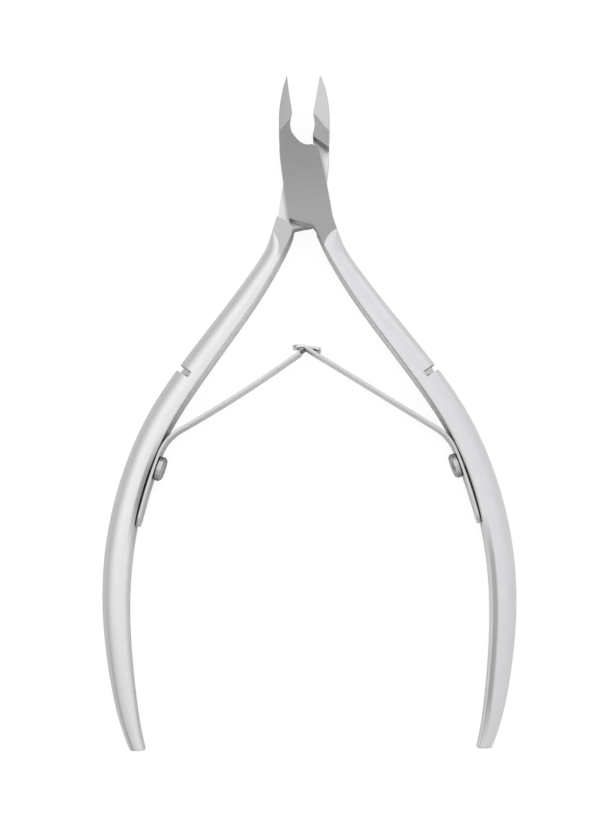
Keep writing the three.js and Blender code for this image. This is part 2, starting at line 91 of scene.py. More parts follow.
NECK = 2.2
ROUNDING_ZONE = (2.4, 6.6)
INNER_FALL = 0.3
CROWN_SHARE = 0.75
INNER_CORNER = (0.3, 0.45)
SIDE_HALF_HEIGHT = 0.35
END_SLANT = 0.35

PIN_RADIUS = 2
PIN_CLEARANCE = 0.05
PIN_BLIND_TOP = 2.4

NOTCH_HALF_WIDTH = 0.55
NOTCH_DEPTH = 0.7
NOTCH_REACH = 2.7

STRIP = 0.52
STRIP_WIDTH = 5
STRIP_REST_GAP = 0.1
FOOT_START = 59.8
FOOT_END = 46.6
BEND_RADIUS = 8
CROSSING = (0, -28.6)
SCREW_AT = 48.85
FOOT_BOW = 0.17
TAIL_RADIUS = 0.6
LEFT_TAIL = (0.1, math.radians(50.5))
RIGHT_TAIL = (0.35, math.radians(31.9))
EYE_LENGTH = 3.5
EYE_WIDTH = 2.1
EYE_OFFSET = 0.15
EYE_TILT = math.radians(15)
EYE_END = 2.45
HEAD_END = 2.6
HEAD_START = 1.36
NECK_START = -1.25
NECK_WIDTH = 1.5

SHANK_RADIUS = 1.15
SCREW_HOLE_RADIUS = 1.2
FOOT_HOLE_RADIUS = 1.3
SCREW_HOLE_DEPTH = 3.2
HEAD_RADIUS = 2.1
HEAD_HEIGHT = 1.35
HEAD_CHAMFER = 0.4
DRIVER_SLOT_WIDTH = 0.7
DRIVER_SLOT_DEPTH = 0.6

HANDLE_START = (2.17, -6.62)
HANDLE_LENGTH = 98.3
HANDLE_AT = (0, 7, 14, 24, 36, 50, 64, 78, 90, 98.4)
HANDLE_HEADING = (5.8, 20.9, 26.3, 28.7, 25.5, 11.6, -0.8, -12.3, -18.8, -27.1)
HANDLE_HALF_WIDTH = (1.67, 1.66, 1.9, 2.1, 2.25, 2.2, 2.25, 2.1, 1.75, 1.2)
HANDLE_CROWN = (3.2, 3.22, 3.35, 3.5, 3.6, 3.6, 3.55, 3.3, 2.85, 2.4)

# Ribs of the head from the left edge to the right edge, in spans that meet at corners.
FRONT_JAW = (
    ((-0.16, 19.45), (-0.03, 19.45)),
    ((-0.67, 18.3), (-0.06, 18.3)),
    ((-1.2, 17), (-0.11, 16.8)),
    ((-1.86, 15), (-0.13, 15.2)),
    ((-2.39, 13), (-0.15, 13.6)),
    ((-2.74, 11), (-0.18, 12.2)),
)
FRONT_GULLET = (
    ((-2.74, 11), (-0.18, 12.2)),
    ((-2.97, 9.4), (-0.44, 11.5)),
    ((-3.12, 8.3), (-0.86, 10.3)),
    ((-3.22, 7.4), (-0.84, 9.1)),
    ((-3.32, 6.6), (-0.42, 8.05)),
    ((-3.42, 5.9), (0.4, 6.9)),
    ((-3.48, 5.3), (1.3, 6.3)),
    ((-3.52, 4.8), (2.4, 6.1)),
    ((-3.55, 4.4), (3.27, 5.52)),
)
REAR_JAW = (
    ((-0.16, 19.45), (0.01, 19.45)),
    ((-0.74, 18.3), (0.04, 18.3)),
    ((-1.34, 17), (0.09, 16.8)),
    ((-2, 15), (0.11, 15.2)),
    ((-2.52, 13), (0.12, 13.6)),
    ((-2.82, 11), (0.14, 12.1)),
)
REAR_GULLET = (
    ((-2.82, 11), (0.14, 12.1)),
    ((-3.04, 9.4), (0.02, 11.5)),
    ((-3.12, 8.3), (-0.34, 10.3)),
    ((-3.22, 7.4), (-0.4, 9.1)),
    ((-3.32, 6.6), (-0.2, 8.05)),
    ((-3.42, 5.9), (0.4, 6.9)),
    ((-3.48, 5.3), (1.3, 6.3)),
    ((-3.52, 4.8), (2.4, 6.1)),
    ((-3.55, 4.4), (3.27, 5.52)),
)
PLATE = (
    ((-3.55, 4.4), (3.27, 5.52)),
    ((-3.63, 1.8), (3.55, 2.6)),
    ((-3.66, -0.8), (3.72, -0.6)),
    ((-3.68, -3.4), (3.79, -3.2)),
    ((-3.6, -6), (3.82, -5.2)),
)
FRONT_CROTCH = (
    ((-3.6, -6), (3.82, -5.2)),
    ((-2.0, -6.8), (3.82, -5.9)),
    ((-0.5, -7.4), (3.83, -6.5)),
    ((0.25, -7.8), (3.88, -7.1)),
)
REAR_CROTCH = (
    ((-3.6, -6), (3.82, -5.2)),
    ((-2.2, -6.85), (3.82, -5.9)),
    ((-0.5, -7.4), (3.83, -6.5)),
    ((0.8, -7.9), (3.88, -7.1)),
)
FRONT = {
    "arm_bow": 0,
    "notch_at": 32.3,
    "facet": ((-0.65, 11.2), (-2.87, 9.38)),
    "spans": (FRONT_JAW, FRONT_GULLET, PLATE, FRONT_CROTCH),
}
REAR = {
    "arm_bow": 0.4,
    "notch_at": 31.85,
    "facet": ((-0.05, 11.8), (-2.97, 9.28)),
    "spans": (REAR_JAW, REAR_GULLET, PLATE, REAR_CROTCH),
}
JAW_STEP = ((2.5, 9.49), (-6, 4.98))
HANDLE_SHOULDER = ((-0.4, -10.2), (0.66, -8.72), (1.51, -7.55), (3.66, -6.73), (7, -5.45))
REAR_RELIEF = (1.6, 7.3, 2.15)

# ---- fineness ----

LEFT_STEPS = 6
RIGHT_STEPS = 14
SIDE_STEPS = 6
FLAT_SHARES = (0.05, 0.1, 0.16, 0.24, 0.4, 0.65)
RIB_STEPS = 8
HANDLE_STEP = 0.5
INNER_SOFTENS = (60, 90)
END_ROUNDING = 0.12
END_STEPS = 4
NOTCH_STEPS = 12
NOTCH_WALL = 0.02
NOTCH_ROUNDING = 0.7

# ---- curves ----


def smoothstep(value, low, high):
    share = np.clip((value - low) / (high - low), 0, 1)
    return share * share * (3 - 2 * share)


def lerp(a, b, share):
    return a + (b - a) * share


def keyed(keys, values, at):
    """Cubic Hermite curve through the keys, with slopes from the neighbours. `at` may be an array."""
    keys = np.asarray(keys, float)
    values = np.asarray(values, float)
    last = len(keys) - 1
    before = np.maximum(np.arange(last + 1) - 1, 0)
    after = np.minimum(np.arange(last + 1) + 1, last)
    slope = (values[after] - values[before]) / (keys[after] - keys[before])
    i = np.clip(np.searchsorted(keys, at, side="left") - 1, 0, last - 1)
    h = keys[i + 1] - keys[i]
    t = (at - keys[i]) / h
    rise = values[i + 1] - values[i]
    bend = t * (1 - t) * (h * slope[i] * (1 - t) - h * slope[i + 1] * t)
    return values[i] + rise * t * t * (3 - 2 * t) + bend


def heading_at(distance):
    """Heading of the handle's centreline, which stays the same past its last key."""
    return np.radians(keyed(HANDLE_AT, HANDLE_HEADING, np.minimum(distance, HANDLE_AT[-1])))


LINE_STEP = 0.05
line_at = np.arange(0, HANDLE_LENGTH + 4, LINE_STEP)
line_heading = heading_at(line_at)
line_middle = heading_at(line_at + LINE_STEP / 2)
line_x = HANDLE_START[0] + np.concatenate([[0], np.cumsum(np.sin(line_middle) * LINE_STEP)[:-1]])
line_y = HANDLE_START[1] - np.concatenate([[0], np.cumsum(np.cos(line_middle) * LINE_STEP)[:-1]])


def handle_at(distance):
    """Point, outward normal and half width of the handle at a distance along its centreline."""
    heading = np.interp(distance, line_at, line_heading)
    point = np.array([np.interp(distance, line_at, line_x), np.interp(distance, line_at, line_y)])
    normal = np.array([math.cos(heading), math.sin(heading)])
    return point, normal, float(keyed(HANDLE_AT, HANDLE_HALF_WIDTH, distance))


def beside_handle(distance, clear):
    point, normal, half_width = handle_at(distance)
    return point - normal * (half_width + clear)


# ---- meshes, in millimetres ----


def mesh_object(name, vertices, faces):
    mesh = bpy.data.meshes.new(name)
    mesh.from_pydata([tuple(v) for v in vertices], [], [tuple(f) for f in faces])
    mesh.validate()
    made = bpy.data.objects.new(name, mesh)
    bpy.context.scene.collection.objects.link(made)
    return made


def ring_body(name, rings):
    """Closed body through rings of equal length. Rings run clockwise seen by who travels along it.
    Its faces come in bands, one from each ring to the next, and then the two ends."""
    count = len(rings[0])
    faces = []
    for r in range(len(rings) - 1):
        for i in range(count):
            a = r * count + i
            b = r * count + (i + 1) % count
            faces.append((a, a + count, b + count, b))
    faces.append(range(count))
    end = (len(rings) - 1) * count
    faces.append([end + i for i in reversed(range(count))])
    return mesh_object(name, np.concatenate(rings), faces)


def prism(name, outline, low, high):
    """Upright body over an outline that runs counterclockwise."""
    count = len(outline)
    bottom = [(x, y, low) for x, y in outline]
    top = [(x, y, high) for x, y in outline]
    faces = [(i, (i + 1) % count, (i + 1) % count + count, i + count) for i in range(count)]
    faces.append(list(reversed(range(count))))
    faces.append(range(count, 2 * count))
    return mesh_object(name, bottom + top, faces)


def circle(radius, centre=(0, 0), segments=96):
    turns = [2 * math.pi * i / segments for i in range(segments)]
    return [(centre[0] + radius * math.cos(t), centre[1] + radius * math.sin(t)) for t in turns]


def lathe(name, profile, segments=96):
    """Body round Z through a profile of (radius, height) that starts and ends on the axis."""
    vertices = []
    for radius, height in profile[1:-1]:
        vertices += [(x, y, height) for x, y in circle(radius, segments=segments)]
    rings = len(profile) - 2
    faces = []
    for r in range(rings - 1):
        for i in range(segments):
            a = r * segments + i
            b = r * segments + (i + 1) % segments
            faces.append((a, b, b + segments, a + segments))
    faces.append(list(reversed(range(segments))))
    faces.append([(rings - 1) * segments + i for i in range(segments)])
    return mesh_object(name, vertices, faces)


def with_materials(piece, materials, index=0):
    for material in materials:
        piece.data.materials.append(material)
    piece.data.polygons.foreach_set("material_index", [index] * len(piece.data.polygons))
    return piece


def cut(piece, tool):
    """Takes a tool's volume out of a piece. The cut faces get the tool's material."""
    modifier = piece.modifiers.new("cut", "BOOLEAN")
    modifier.operation = "DIFFERENCE"
    modifier.solver = "EXACT"
    modifier.object = tool
    graph = bpy.context.evaluated_depsgraph_get()
    result = bpy.data.meshes.new_from_object(piece.evaluated_get(graph))
    piece.modifiers.clear()
    piece.data = result
    bpy.data.objects.remove(tool)
    return piece


def place(piece, side):
    """From a half's own frame to the row frame: side +1 is the front half, -1 the rear half."""
    if side < 0:
        piece.data.transform(Matrix.Diagonal((-1, 1, 1, 1)))
        piece.data.flip_normals()
    turn = Matrix.Rotation(side * OPEN_ANGLE, 4, "Z")
    lower = Matrix.Translation((0, 0, -HALF_DEPTH))
    piece.data.transform(Matrix.Scale(MM, 4) @ lower @ turn)
    return piece


def smooth(piece, sharp_degrees=28):
    mesh = piece.data
    mesh.shade_smooth()
    mesh.set_sharp_from_angle(angle=math.radians(sharp_degrees))
    weighted = piece.modifiers.new("weighted_normals", "WEIGHTED_NORMAL")
    weighted.keep_sharp = True
    weighted.weight = 80
    return piece


def store(piece, name, values):
    attribute = piece.data.attributes.new(name, "FLOAT_VECTOR", "POINT")
    attribute.data.foreach_set("vector", np.asarray(values, np.float32).ravel())


def points_of(piece):
    flat = np.zeros(len(piece.data.vertices) * 3)
    piece.data.vertices.foreach_get("co", flat)
    return flat.reshape(-1, 3)


def store_places(piece):
    """Keeps each point's place in the half's frame, and its place on the handle: along it, across it,
    and how far it is from the handle's inner edge."""
    points = points_of(piece)
    coarse = slice(None, None, 10)
    dx = points[:, 0][:, None] - line_x[coarse][None, :]
    dy = points[:, 1][:, None] - line_y[coarse][None, :]
    nearest = np.argmin(dx * dx + dy * dy, axis=1)
    at = line_at[coarse][nearest]
    heading = line_heading[coarse][nearest]
    gap = np.stack([points[:, 0] - line_x[coarse][nearest], points[:, 1] - line_y[coarse][nearest]])
    along = at + gap[0] * np.sin(heading) - gap[1] * np.cos(heading)
    across = gap[0] * np.cos(heading) + gap[1] * np.sin(heading)
    half_width = np.array([handle_at(distance)[2] for distance in line_at[coarse]])[nearest]
    store(piece, "local", points)
    store(piece, "handle", np.stack([along, across, across + half_width], axis=1))


# ---- the two halves ----


def facet_height(point, facet, tip_height):
    """Height of the ground facet over the lap plane: flat up to its line, then falling to the tip."""
    inner, outer = facet
    line = (outer[0] - inner[0], outer[1] - inner[1])

    def beyond(x, y):
        return ((x - inner[0]) * line[1] - (y - inner[1]) * line[0]) / math.hypot(*line)

    fall = (HALF_DEPTH - tip_height) / beyond(*TIP)
    return HALF_DEPTH - fall * max(0, beyond(*point))


def section_ring(left, right, front, back, left_corner, right_corner, shape=None):
    """Ring round a section on the rib from left to right. front and back are heights at its ends,
    and corners are the semi-axes (across, up) of the rounded edges. shape may move the points."""
    width = math.hypot(right[0] - left[0], right[1] - left[1])

    def corner(from_left, heights, sign, steps):
        semi_across, semi_up = left_corner if from_left else right_corner
        reach = min(semi_across, (1 - CROWN_SHARE if from_left else CROWN_SHARE) * width)
        turn = np.linspace(0, math.pi / 2, steps + 1)
        from_side = reach * (1 - np.sin(turn))
        across = from_side if from_left else width - from_side
        top = lerp(heights[0], heights[1], across / width)
        drop = np.minimum(semi_up, 0.9 * top) * (1 - np.cos(turn))
        return np.stack([across, sign * (top - drop)], axis=1)

    def flat(start, end):
        shares = np.array(FLAT_SHARES)[:, None]
        return start + (end - start) * shares

    front_left = corner(True, front, 1, LEFT_STEPS)[::-1]
    front_right = corner(False, front, 1, RIGHT_STEPS)
    back_right = corner(False, back, -1, RIGHT_STEPS)[::-1]
    back_left = corner(True, back, -1, LEFT_STEPS)
    side_shares = (np.arange(1, SIDE_STEPS) / SIDE_STEPS)[:, None]
    section = np.concatenate([
        front_left,
        flat(front_right[0], front_left[-1])[::-1],
        front_right,
        lerp(front_right[-1], back_right[0], side_shares),
        back_right,
        flat(back_right[-1], back_left[0]),
        back_left,
        lerp(back_left[-1], front_left[0], side_shares),
    ])
    if shape:
        section = shape(section, width)
    share = section[:, 0] / width
    x = lerp(left[0], right[0], share)
    y = lerp(left[1], right[1], share)
    return np.stack([x, y, section[:, 1]], axis=1)


def hollowed(section, width, depth, edge_height):
    """The inner face of the jaw curves away behind the cutting edge, which is its front corner."""
    across, height = section.T
    from_front = np.clip((edge_height - height) / (2 * edge_height), 0, 1)
    share = np.clip((across / width - 0.5) * 2, 0, 1)
    return np.stack([across - share * depth * np.sin(from_front * math.pi * 0.75), height], axis=1)


def head_rings(span, facet):
    """Rings over one span of ribs. The last one falls on the next span's first."""
    knots = np.arange(len(span))
    rings = []
    for t in np.linspace(0, len(span) - 1, (len(span) - 1) * RIB_STEPS + 1):
        left = [float(keyed(knots, [rib[0][axis] for rib in span], t)) for axis in (0, 1)]
        right = [float(keyed(knots, [rib[1][axis] for rib in span], t)) for axis in (0, 1)]
        front = [facet_height(point, facet, TIP_FRONT) for point in (left, right)]
        back = [facet_height(point, facet, TIP_BACK) for point in (left, right)]
        hollow = HOLLOW_DEPTH * smoothstep(right[1], 9, 12) * smoothstep(-left[0], 0, 3)
        edge = (EDGE_RADIUS, EDGE_RADIUS)
        rings.append(section_ring(
            left, right, front, back, edge, edge,
            lambda section, width: hollowed(section, width, hollow, front[1]),
        ))
    return rings


def notched(section, width, reach):
    """The groove across the handle's outer side: a straight cut from the crown to the widest point."""
    across, height = section.T
    top = height.max()
    inwards = np.clip((across - width + reach) / reach, 0, 1)
    downwards = np.clip((top - np.abs(height)) / top, 0, 1)
    share = np.where(inwards > 0, (inwards + downwards) / 2, 0)
    low = np.minimum(np.abs(height), SIDE_HALF_HEIGHT)
    cut_across = lerp(width - reach, width - NOTCH_DEPTH, share)
    cut_height = np.sign(height) * np.minimum(np.abs(height), lerp(top, low, share))
    return np.where(inwards[:, None] > 0, np.stack([cut_across, cut_height], axis=1), section)


def handle_ring(distance, shape=None, inset=0):
    """One ring of the handle. Past the neck the outer corners grow until the section is a D."""
    point, normal, half_width = handle_at(distance)
    crown = float(keyed(HANDLE_AT, HANDLE_CROWN, distance))
    rounding = float(smoothstep(distance, *ROUNDING_ZONE))
    fall = INNER_FALL * float(smoothstep(distance, ROUNDING_ZONE[1], 2.5 * ROUNDING_ZONE[1]))
    heights = (crown - fall - inset, crown - inset)
    full = (2 * CROWN_SHARE * half_width, crown - SIDE_HALF_HEIGHT)
    softer = 1 + float(smoothstep(distance, *INNER_SOFTENS))
    inner = [lerp(EDGE_RADIUS, softer * semi_axis, rounding) for semi_axis in INNER_CORNER]
    outer = [lerp(EDGE_RADIUS, semi_axis, rounding) for semi_axis in full]
    travel = np.array([normal[1], -normal[0]])
    slant = END_SLANT * float(smoothstep(distance, HANDLE_LENGTH - 3, HANDLE_LENGTH))
    left = point - normal * (half_width - inset) + travel * slant
    right = point + normal * (half_width - inset) - travel * slant
    return section_ring(left, right, heights, heights, inner, outer, shape)


def notch_rings(middle):
    """Rings of the groove: steep walls, and a reach over the crown that is rounded off."""
    low = middle - NOTCH_HALF_WIDTH
    high = middle + NOTCH_HALF_WIDTH
    rings = [handle_ring(low)]
    for offset in np.linspace(-1, 1, NOTCH_STEPS + 1):
        distance = middle + offset * (NOTCH_HALF_WIDTH - NOTCH_WALL)
        rounding = NOTCH_ROUNDING * (1 - math.sqrt(1 - (0.98 * offset) ** 2))
        reach = NOTCH_REACH - rounding * NOTCH_HALF_WIDTH
        rings.append(handle_ring(distance, lambda section, width: notched(section, width, reach)))
    rings.append(handle_ring(high))
    return rings


def handle_rings(notch_at):
    """Rings down to the end of the handle, and how many come before the notch."""
    low = notch_at - NOTCH_HALF_WIDTH
    high = notch_at + NOTCH_HALF_WIDTH
    end = HANDLE_LENGTH - END_ROUNDING
    first = [handle_ring(d) for d in np.arange(NECK, low - 0.2, HANDLE_STEP)]
    second = [handle_ring(d) for d in np.arange(high + 0.3, end - 0.2, HANDLE_STEP)]
    last = []
    for turn in np.linspace(0, math.pi / 2, END_STEPS + 1):
        inset = END_ROUNDING * (1 - math.cos(turn))
        last.append(handle_ring(end + END_ROUNDING * math.sin(turn), inset=inset))
    return first + notch_rings(notch_at) + second + last, len(first)


SKIN, LAP, WALL = 0, 1, 2


def half_blank(name, shape, materials):
    """A half before its cuts. The two walls of the groove get the milled material, whose dark colour is
    partly painted shade.
    """
    rings = []
    for span in shape["spans"]:
        rings += head_rings(span, shape["facet"])[1 if rings else 0:]
    handle, to_notch = handle_rings(shape["notch_at"])
    piece = with_materials(ring_body(name, rings + handle), materials, SKIN)
    count = len(rings[0])
    notch_bands = len(notch_rings(shape["notch_at"])) - 1
    normal = handle_at(shape["notch_at"])[1]
    travel = Vector((normal[1], -normal[0], 0))
    for band in (0, notch_bands - 1):
        start = (len(rings) + to_notch + band) * count
        for polygon in piece.data.polygons[start:start + count]:
            if abs(polygon.normal.dot(travel)) > 0.7:
                polygon.material_index = WALL
    return piece


def on_foot(share, clear):
    """Point and direction of the foot at a share of the way from its lower end to the bend. The foot
    touches the hollow of the handle with its ends and stands off it a little in between."""
    low = beside_handle(FOOT_START, 0)
    high = beside_handle(FOOT_END, 0)
    chord = high - low
    length = np.linalg.norm(chord)
    along = chord / length
    outward = np.array([along[1], -along[0]])
    point = low + chord * share + outward * FOOT_BOW * 4 * share * (1 - share)
    direction = along + outward * FOOT_BOW * 4 * (1 - 2 * share) / length
    direction = direction / np.linalg.norm(direction)
    inward = np.array([-direction[1], direction[0]])
    return point + inward * clear, direction


def placed_at_screw(piece):
    """Moves a body that is drawn round +Z, from the handle's face outwards, to the screw's place."""
    seat, along = on_foot((FOOT_START - SCREW_AT) / (FOOT_START - FOOT_END), 0)
    inward = Vector((-along[1], along[0], 0))
    turn = Vector((0, 0, 1)).rotation_difference(inward).to_matrix().to_4x4()
    piece.data.transform(Matrix.Translation((seat[0], seat[1], 0)) @ turn)
    return piece


def tool_for_lap(tool, materials):
    """The pocket's floor is the polished lap face, and its walls get the milled material, darkened partly
    as painted shade.
    """
    with_materials(tool, materials, WALL)
    for polygon in tool.data.polygons:
        if abs(polygon.normal.z) > 0.9:
            polygon.material_index = LAP
    return tool


def half(name, side, materials):
    """The front half has its lap pocket at the back, the rear half has it at the front."""
    piece = half_blank(name, FRONT if side > 0 else REAR, materials)
    edge = [*HANDLE_SHOULDER, (7, JAW_STEP[0][1]), *JAW_STEP, (-6, -11), (-0.4, -11)]
    low, high = (-REACH, LAP_GAP) if side > 0 else (-LAP_GAP, REACH)
    cut(piece, tool_for_lap(prism("pocket", edge, low, high), materials))
    top = PIN_BLIND_TOP if side > 0 else REACH
    bore = prism("bore", circle(PIN_RADIUS + PIN_CLEARANCE), -REACH, top)
    cut(piece, with_materials(bore, materials, WALL))
    if side < 0:
        x, y, radius = REAR_RELIEF
        relief = prism("relief", circle(radius, (x, y)), -REACH, REACH)
        cut(piece, with_materials(relief, materials, WALL))
    hole = prism("hole", circle(SCREW_HOLE_RADIUS, segments=48), -SCREW_HOLE_DEPTH, REACH)
    cut(piece, with_materials(placed_at_screw(hole), materials, WALL))
    store_places(piece)
    return smooth(place(piece, side))


def pivot_rivet(material):
    """Riveted flush at the back of the rear plate, with a faint dome and a broken edge."""
    low = -HALF_DEPTH + PIN_CLEARANCE
    high = PIN_BLIND_TOP - 2 * PIN_CLEARANCE
    dome, edge = 0.08, 0.1
    profile = [(0, low)]
    for share in (0.3, 0.6, 0.85):
        profile.append((share * PIN_RADIUS, low + dome * share * share))
    profile += [(PIN_RADIUS - edge, low + dome), (PIN_RADIUS, low + dome + edge)]
    profile += [(PIN_RADIUS, high - edge), (PIN_RADIUS - edge, high), (0, high)]
    piece = with_materials(lathe("pivot_rivet", profile), [material])
    store(piece, "local", points_of(piece))
    return smooth(place(piece, -1))


# ---- leaf springs, drawn for the front half ----

STRIP_EDGE = 0.1
EDGE_STEPS = 3
FOOT_CORNER = 1.6
EYE_CORNER = 1.5
HEAD_CORNER = 0.8
NECK_BLEND = 0.12
NEAR_END = np.array([0.02, 0.06, 0.14, 0.26, 0.42, 0.65, 0.95, 1.3, 1.6])
ARM_STEP = 0.5
HOOK_FROM = -3
HOOK_STEP = 0.08
BEND_STEPS = 24
SLOT_STEPS = 24
ON_NECK = -1


def strip_ring(point, direction, width):
    """Rounded oblong across the strip at a point of its centreline."""
    side = np.array([-direction[1], direction[0]])
    ring = []
    for quarter, (sx, sz) in enumerate(((1, 1), (1, -1), (-1, -1), (-1, 1))):
        for step in range(EDGE_STEPS + 1):
            turn = math.pi / 2 * (1 - quarter - step / EDGE_STEPS)
            across = sx * (STRIP / 2 - STRIP_EDGE) + STRIP_EDGE * math.cos(turn)
            height = sz * (width / 2 - STRIP_EDGE) + STRIP_EDGE * math.sin(turn)
            ring.append((point[0] + across * side[0], point[1] + across * side[1], height))
    return np.array(ring)


def spring_line(arm_bow):
    """Centreline of a leaf spring above its foot: an arc that leaves the handle's side, and an arm
    that ends at the crossing and bows down by arm_bow on its way there."""
    start, along = on_foot(1, STRIP_REST_GAP + STRIP / 2)
    inward = np.array([-along[1], along[0]])
    centre = start + inward * BEND_RADIUS
    crossing = np.array(Matrix.Rotation(-OPEN_ANGLE, 2) @ Vector(CROSSING))
    reach = crossing - centre
    first = math.atan2(-inward[1], -inward[0])
    straight = math.atan2(reach[1], reach[0]) - math.acos(BEND_RADIUS / np.linalg.norm(reach))
    last = straight + 4 * arm_bow / np.linalg.norm(reach)
    end, heading = on_bend(centre, last)
    chord = crossing - end
    chord_heading = math.atan2(chord[1], chord[0])
    return {
        "centre": centre,
        "first": first,
        "last": last,
        "end": end,
        "heading": heading,
        "turn": chord_heading - heading,
        "arm": float(np.linalg.norm(chord)),
        "crossing": crossing,
    }


def direction_of(heading):
    return np.array([math.cos(heading), math.sin(heading)])


def on_bend(centre, angle):
    """Point and heading on the arc, at an angle round its centre."""
    return centre + direction_of(angle) * BEND_RADIUS, angle + math.pi / 2


def on_arm(line, past, tail):
    """Point and direction `past` the crossing. tail is where the hooked end turns off, and by how much."""
    tail_start, tail_turn = tail
    turn = line["turn"]
    if past <= 0:
        share = 1 + past / line["arm"]
        reach = share if abs(turn) < 1e-6 else math.sin(turn * share) / math.sin(turn)
        point = line["end"] + direction_of(line["heading"] + turn * share) * line["arm"] * reach
        return point, direction_of(line["heading"] + 2 * turn * share)
    heading = line["heading"] + 2 * turn
    along = direction_of(heading)
    left = np.array([-along[1], along[0]])
    if past <= tail_start:
        return line["crossing"] + along * past, along
    angle = min(tail_turn, (past - tail_start) / TAIL_RADIUS)
    point = line["crossing"] + along * (tail_start + TAIL_RADIUS * math.sin(angle))
    point = point + left * TAIL_RADIUS * (1 - math.cos(angle))
    direction = direction_of(heading + angle)
    straight = max(0, past - tail_start - TAIL_RADIUS * tail_turn)
    return point + direction * straight, direction


def rounded_width(width, from_end, radius):
    """Width of a strip with round corners, a distance from its end."""
    inset = max(0, radius - from_end)
    return width - 2 * (radius - math.sqrt(max(0, radius * radius - inset * inset)))


def leaf_spring(name, arm_bow, tail, end, width_at, material, slot=None):
    """The whole strip: foot, bend, arm and tail. width_at gives the arm's width past the crossing.
    Its places are along and across the strip, and how it hooks: the distance past the crossing, or
    ON_NECK."""
    clear = STRIP_REST_GAP + STRIP / 2
    foot_length = float(np.linalg.norm(on_foot(1, clear)[0] - on_foot(0, clear)[0]))
    rings, centres, places = [], [], []

    def add(point, direction, width, along, hook=0):
        rings.append(strip_ring(point, direction, width))
        centres.append(point)
        places.append((along, hook))

    for from_end in np.concatenate([NEAR_END, np.arange(2, foot_length - 0.3, ARM_STEP)]):
        point, direction = on_foot(from_end / foot_length, clear)
        add(point, direction, rounded_width(STRIP_WIDTH, from_end, FOOT_CORNER), from_end)
    line = spring_line(arm_bow)
    arc = (line["last"] - line["first"]) * BEND_RADIUS
    for share in np.linspace(0, 1, BEND_STEPS + 1):
        point, heading = on_bend(line["centre"], lerp(line["first"], line["last"], share))
        add(point, direction_of(heading), STRIP_WIDTH, foot_length + share * arc)
    arm = line["arm"]
    straight = np.arange(ARM_STEP - arm, HOOK_FROM, ARM_STEP)
    hooked = np.arange(HOOK_FROM, end - 1, HOOK_STEP)
    tip = end - NEAR_END[NEAR_END < 1][::-1]
    for past in np.concatenate([straight, hooked, tip]):
        point, direction = on_arm(line, past, tail)
        width = width_at(past)
        on_neck = past < 0 and width < 0.9 * STRIP_WIDTH
        hook = ON_NECK if on_neck else max(0, past)
        add(point, direction, width, foot_length + arc + arm + past, hook)
    piece = with_materials(ring_body(name, rings), [material])
    hole = prism("hole", circle(FOOT_HOLE_RADIUS, segments=48), -SCREW_HOLE_DEPTH, REACH)
    cut(piece, with_materials(placed_at_screw(hole), [material]))
    if slot:
        cut(piece, slot)
    points = points_of(piece)
    gaps = points[:, None, :2] - np.array(centres)[None]
    nearest = np.argmin((gaps ** 2).sum(axis=2), axis=1)
    along, hook = np.array(places)[nearest].T
    store(piece, "local", np.stack([along, points[:, 2], hook], axis=1))
    return piece


def eye_width(past):
    return rounded_width(STRIP_WIDTH, EYE_END - past, EYE_CORNER)


def neck_width(past):
    """Narrow neck between the arm and the head that hooks behind the eye."""
    into = smoothstep(past, NECK_START - NECK_BLEND, NECK_START + NECK_BLEND)
    out = smoothstep(past, HEAD_START - NECK_BLEND, HEAD_START + NECK_BLEND)
    width = lerp(STRIP_WIDTH, NECK_WIDTH, into * (1 - out))
    return min(width, rounded_width(STRIP_WIDTH, HEAD_END - past, HEAD_CORNER))


def eye_slot(line, material):
    """Upright cutter with round ends that makes the eye."""
    crossing = line["crossing"]
    radius = EYE_WIDTH / 2
    half_length = EYE_LENGTH / 2 - radius
    outline = []
    for side in (1, -1):
        for i in range(SLOT_STEPS + 1):
            turn = math.pi * (i / SLOT_STEPS - side / 2)
            outline.append((side * half_length + radius * math.cos(turn), radius * math.sin(turn)))
    slot = prism("slot", outline, -REACH / 2, REACH / 2)
    slot.data.transform(Matrix.Translation((EYE_OFFSET, 0, 0)) @ Matrix.Rotation(math.pi / 2, 4, "X"))
    turn = Matrix.Rotation(line["heading"] + 2 * line["turn"] + EYE_TILT, 4, "Z")
    slot.data.transform(Matrix.Translation((crossing[0], crossing[1], 0)) @ turn)
    return with_materials(slot, [material])


def left_leaf_spring(material):
    bow = REAR["arm_bow"]
    piece = leaf_spring("left_leaf_spring", bow, LEFT_TAIL, HEAD_END, neck_width, material)
    return smooth(place(piece, -1))


def right_leaf_spring(material):
    bow = FRONT["arm_bow"]
    slot = eye_slot(spring_line(bow), material)
    piece = leaf_spring("right_leaf_spring", bow, RIGHT_TAIL, EYE_END, eye_width, material, slot)
    return smooth(place(piece, 1))


# ---- spring screws ----


def cheese_screw(name, side, material):
    """Slotted cheese-head screw with a turned edge at both ends of its head."""
    seat = STRIP_REST_GAP + STRIP + PIN_CLEARANCE
    top = seat + HEAD_HEIGHT
    under, crown = 0.12, 0.06
    profile = [
        (0, PIN_CLEARANCE - SCREW_HOLE_DEPTH),
        (SHANK_RADIUS, PIN_CLEARANCE - SCREW_HOLE_DEPTH),
        (SHANK_RADIUS, seat),
        (HEAD_RADIUS - under, seat),
        (HEAD_RADIUS, seat + under),
        (HEAD_RADIUS, top - HEAD_CHAMFER - crown),
        (HEAD_RADIUS - HEAD_CHAMFER, top - crown),
        (0.6 * HEAD_RADIUS, top - 0.3 * crown),
        (0.2 * HEAD_RADIUS, top),
        (0, top),
    ]
    piece = with_materials(lathe(name, profile), [material])
    x, y = DRIVER_SLOT_WIDTH / 2, 1.5 * HEAD_RADIUS
    slot = prism("slot", [(-x, -y), (x, -y), (x, y), (-x, y)], top - DRIVER_SLOT_DEPTH, top + 1)
    cut(piece, with_materials(slot, [material]))
    store(piece, "local", points_of(piece))
    return smooth(place(placed_at_screw(piece), side))


# ---- materials ----

EDGE_SHADE_FADE = 4


